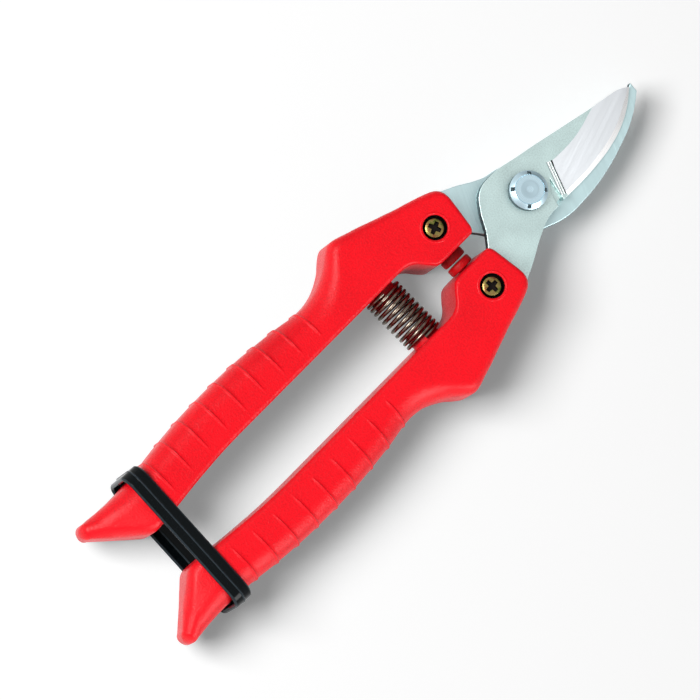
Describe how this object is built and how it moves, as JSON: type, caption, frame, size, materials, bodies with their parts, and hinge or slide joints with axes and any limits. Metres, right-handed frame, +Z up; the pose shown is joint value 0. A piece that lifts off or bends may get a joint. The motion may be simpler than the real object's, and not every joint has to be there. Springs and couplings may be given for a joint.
{
  "type": "pruning shears",
  "caption": "Compact bypass pruning shears with slim moulded handles, a coil return spring between them and a strap over the handle ends that holds them shut.",
  "frame": {"origin": "middle of the overall length and width, on the surface that the shears lie on, under the strap's back", "axes": "+Y towards the blade tips, +X to the right seen from the front, +Z up out of the front, along the pivot bolt"},
  "size_m": [0.0512, 0.18, 0.0214],
  "materials": {
    "blade_steel": "hardened tool steel, ground",
    "hook_steel": "steel, ground across the blade",
    "zinc": "turned and zinc plated",
    "red_nylon": "injection moulded nylon, fine grain",
    "red_buffer": "moulded soft plastic, satin",
    "bronze_zinc": "yellow zinc plated",
    "spring_steel": "drawn wire, nickel plated",
    "black_strap": "moulded flexible plastic, gloss"
  },
  "bodies": {
    "left_half": {"counter_blade": "hook_steel", "pivot_bolt": "zinc", "pivot_washer": "zinc", "pivot_nut": "zinc", "left_handle": "red_nylon", "left_handle_screw": "bronze_zinc", "left_handle_nut": "bronze_zinc", "left_buffer": "red_buffer", "return_spring": "spring_steel"},
    "right_half": {"cutting_blade": "blade_steel", "right_handle": "red_nylon", "right_handle_screw": "bronze_zinc", "right_handle_nut": "bronze_zinc", "right_buffer": "red_buffer"},
    "strap": {"latch_strap": "black_strap"}
  },
  "joints": [
    {"name": "blade_pivot", "type": "hinge", "parent": "left_half", "child": "right_half", "pos_m": [0, 0.0505, 0.0107], "axis": [0, 0, 1], "range_deg": [-0.6, 28], "deforming": ["return_spring", "latch_strap"]},
    {"name": "strap_slide", "type": "slide", "parent": "left_half", "child": "strap", "axis": [0, -1, 0], "range_m": [-0.0007, 0.03]}
  ],
  "couplings": [
    {"joint": "strap_slide", "follows": "blade_pivot", "m_per_rad": 0.0613}
  ]
}
